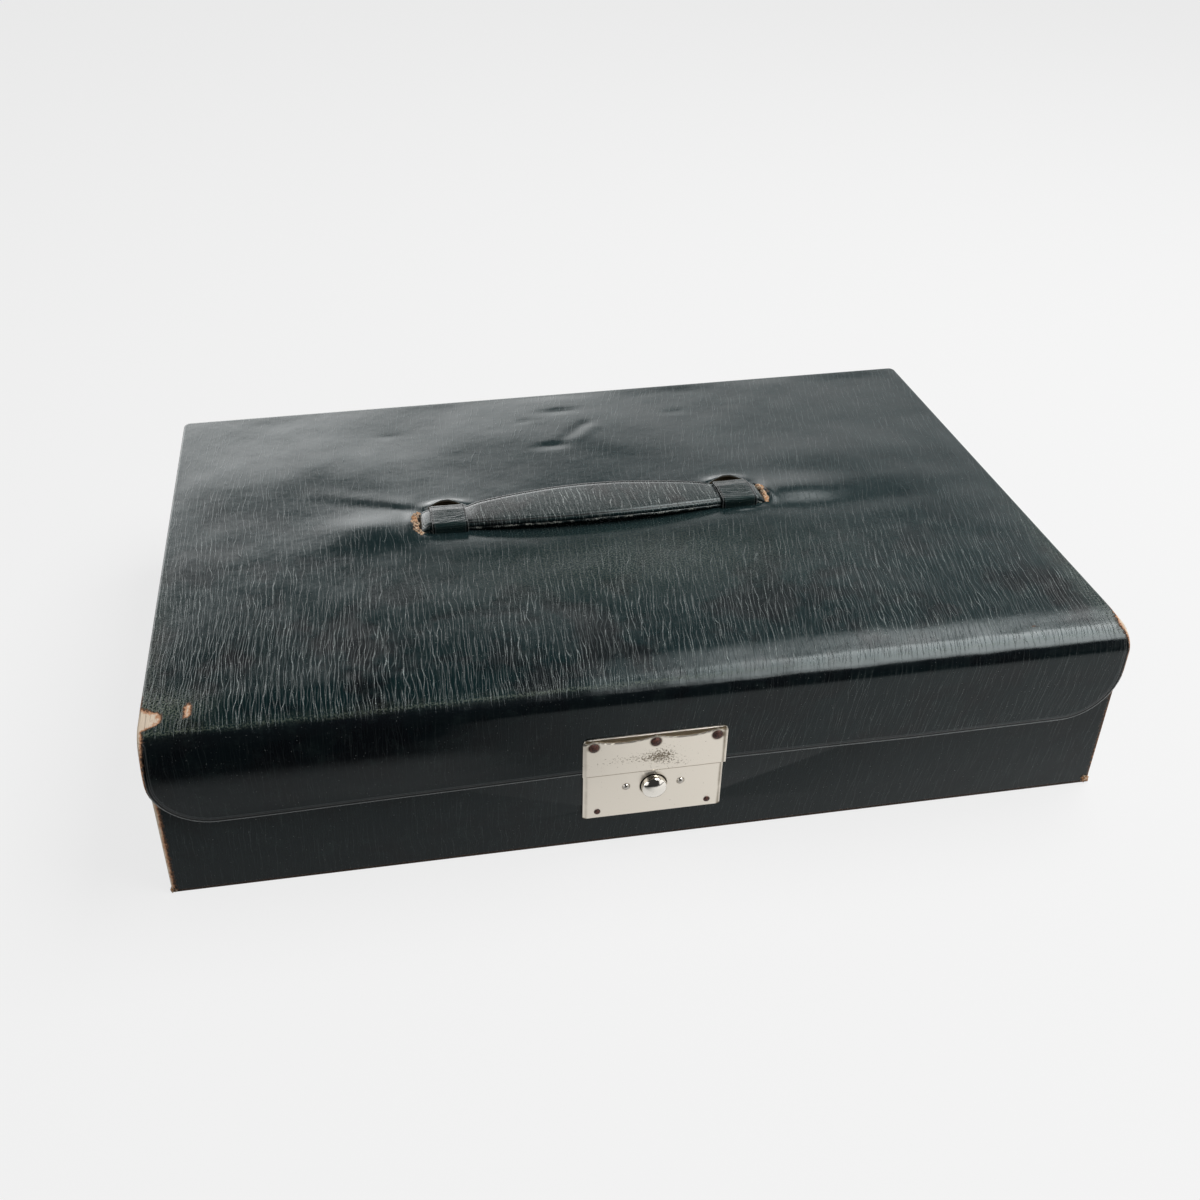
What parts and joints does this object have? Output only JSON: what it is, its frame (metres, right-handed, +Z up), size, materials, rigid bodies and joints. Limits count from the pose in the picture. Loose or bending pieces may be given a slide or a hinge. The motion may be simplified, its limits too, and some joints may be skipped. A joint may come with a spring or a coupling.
{
  "type": "tool case",
  "caption": "Flat leather covered case with a hinged lid, front flap, push-button lock and a strap handle that lies on the lid.",
  "frame": {"origin": "centre of the underside, on the surface that the case lies on", "axes": "+X along the front towards the right, +Y to the back where the hinges are, +Z up"},
  "size_m": [0.3614, 0.2388, 0.0817],
  "materials": {
    "black_leather": "worn satin, straight long grain",
    "tan_leather": "raw torn ends",
    "board": "bare",
    "lining_cloth": "matt cloth",
    "velvet": "velvet",
    "underside_cloth": "matt",
    "satin_nickel": "satin nickel plate with tarnish",
    "brown_nails": "rusted",
    "hinge_brass": "aged",
    "lock_steel": "plain"
  },
  "bodies": {
    "base": {"underside_cover": "underside_cloth", "bottom_board": "board", "front_board": "board", "back_board": "board", "left_board": "board", "right_board": "board", "base_leather": "black_leather", "wall_lining": "lining_cloth", "floor_pad": "velvet", "long_divider": "velvet", "cross_divider_left": "velvet", "cross_divider_right": "velvet", "rest_left": "velvet", "rest_right": "velvet", "lock_plate": "satin_nickel", "lock_case": "lock_steel", "lock_rivets": "satin_nickel", "lock_nails": "brown_nails", "hinge_base_leaves": "hinge_brass", "hinge_base_screws": "hinge_brass", "hinge_pins": "lock_steel", "lock_spring": "lock_steel"},
    "button": {"push_button": "satin_nickel", "latch_plate": "lock_steel"},
    "lid": {"lid_board": "board", "edge_rail": "board", "flap_board": "board", "flap_lining": "lining_cloth", "lid_leather": "black_leather", "lid_pad": "velvet", "strike_plate": "satin_nickel", "strike_tongue": "lock_steel", "strike_nails": "brown_nails", "hinge_lid_leaves": "hinge_brass", "hinge_lid_screws": "hinge_brass", "loop_left": "black_leather", "loop_right": "black_leather"},
    "handle": {"handle_grip": "black_leather", "handle_bend_left": "black_leather", "handle_bend_right": "black_leather"},
    "strap_end_left": {"handle_end_left": "tan_leather"},
    "strap_end_right": {"handle_end_right": "tan_leather"}
  },
  "joints": [
    {"name": "lid_hinge", "type": "hinge", "parent": "base", "child": "lid", "pos_m": [0, 0.1154, 0.07085], "axis": [-1, 0, 0], "range_deg": [0, 180]},
    {"name": "button_press", "type": "slide", "parent": "base", "child": "button", "axis": [0, 1, 0], "range_m": [0, 0.0018], "stiffness_N_per_m": 1200, "springref_m": -0.002, "deforming": ["lock_spring"]},
    {"name": "handle_lift", "type": "slide", "parent": "lid", "child": "handle", "axis": [0, 0, 1], "range_m": [0, 0.02], "deforming": ["handle_bend_left", "handle_bend_right"]},
    {"name": "left_end_slide", "type": "slide", "parent": "lid", "child": "strap_end_left", "axis": [1, 0, 0], "range_m": [0, 0.006], "deforming": ["handle_bend_left"]},
    {"name": "right_end_slide", "type": "slide", "parent": "lid", "child": "strap_end_right", "axis": [-1, 0, 0], "range_m": [0, 0.006], "deforming": ["handle_bend_right"]}
  ],
  "couplings": [
    {"joint": "left_end_slide", "follows": "handle_lift", "ratio": 0.3},
    {"joint": "right_end_slide", "follows": "handle_lift", "ratio": 0.3}
  ]
}
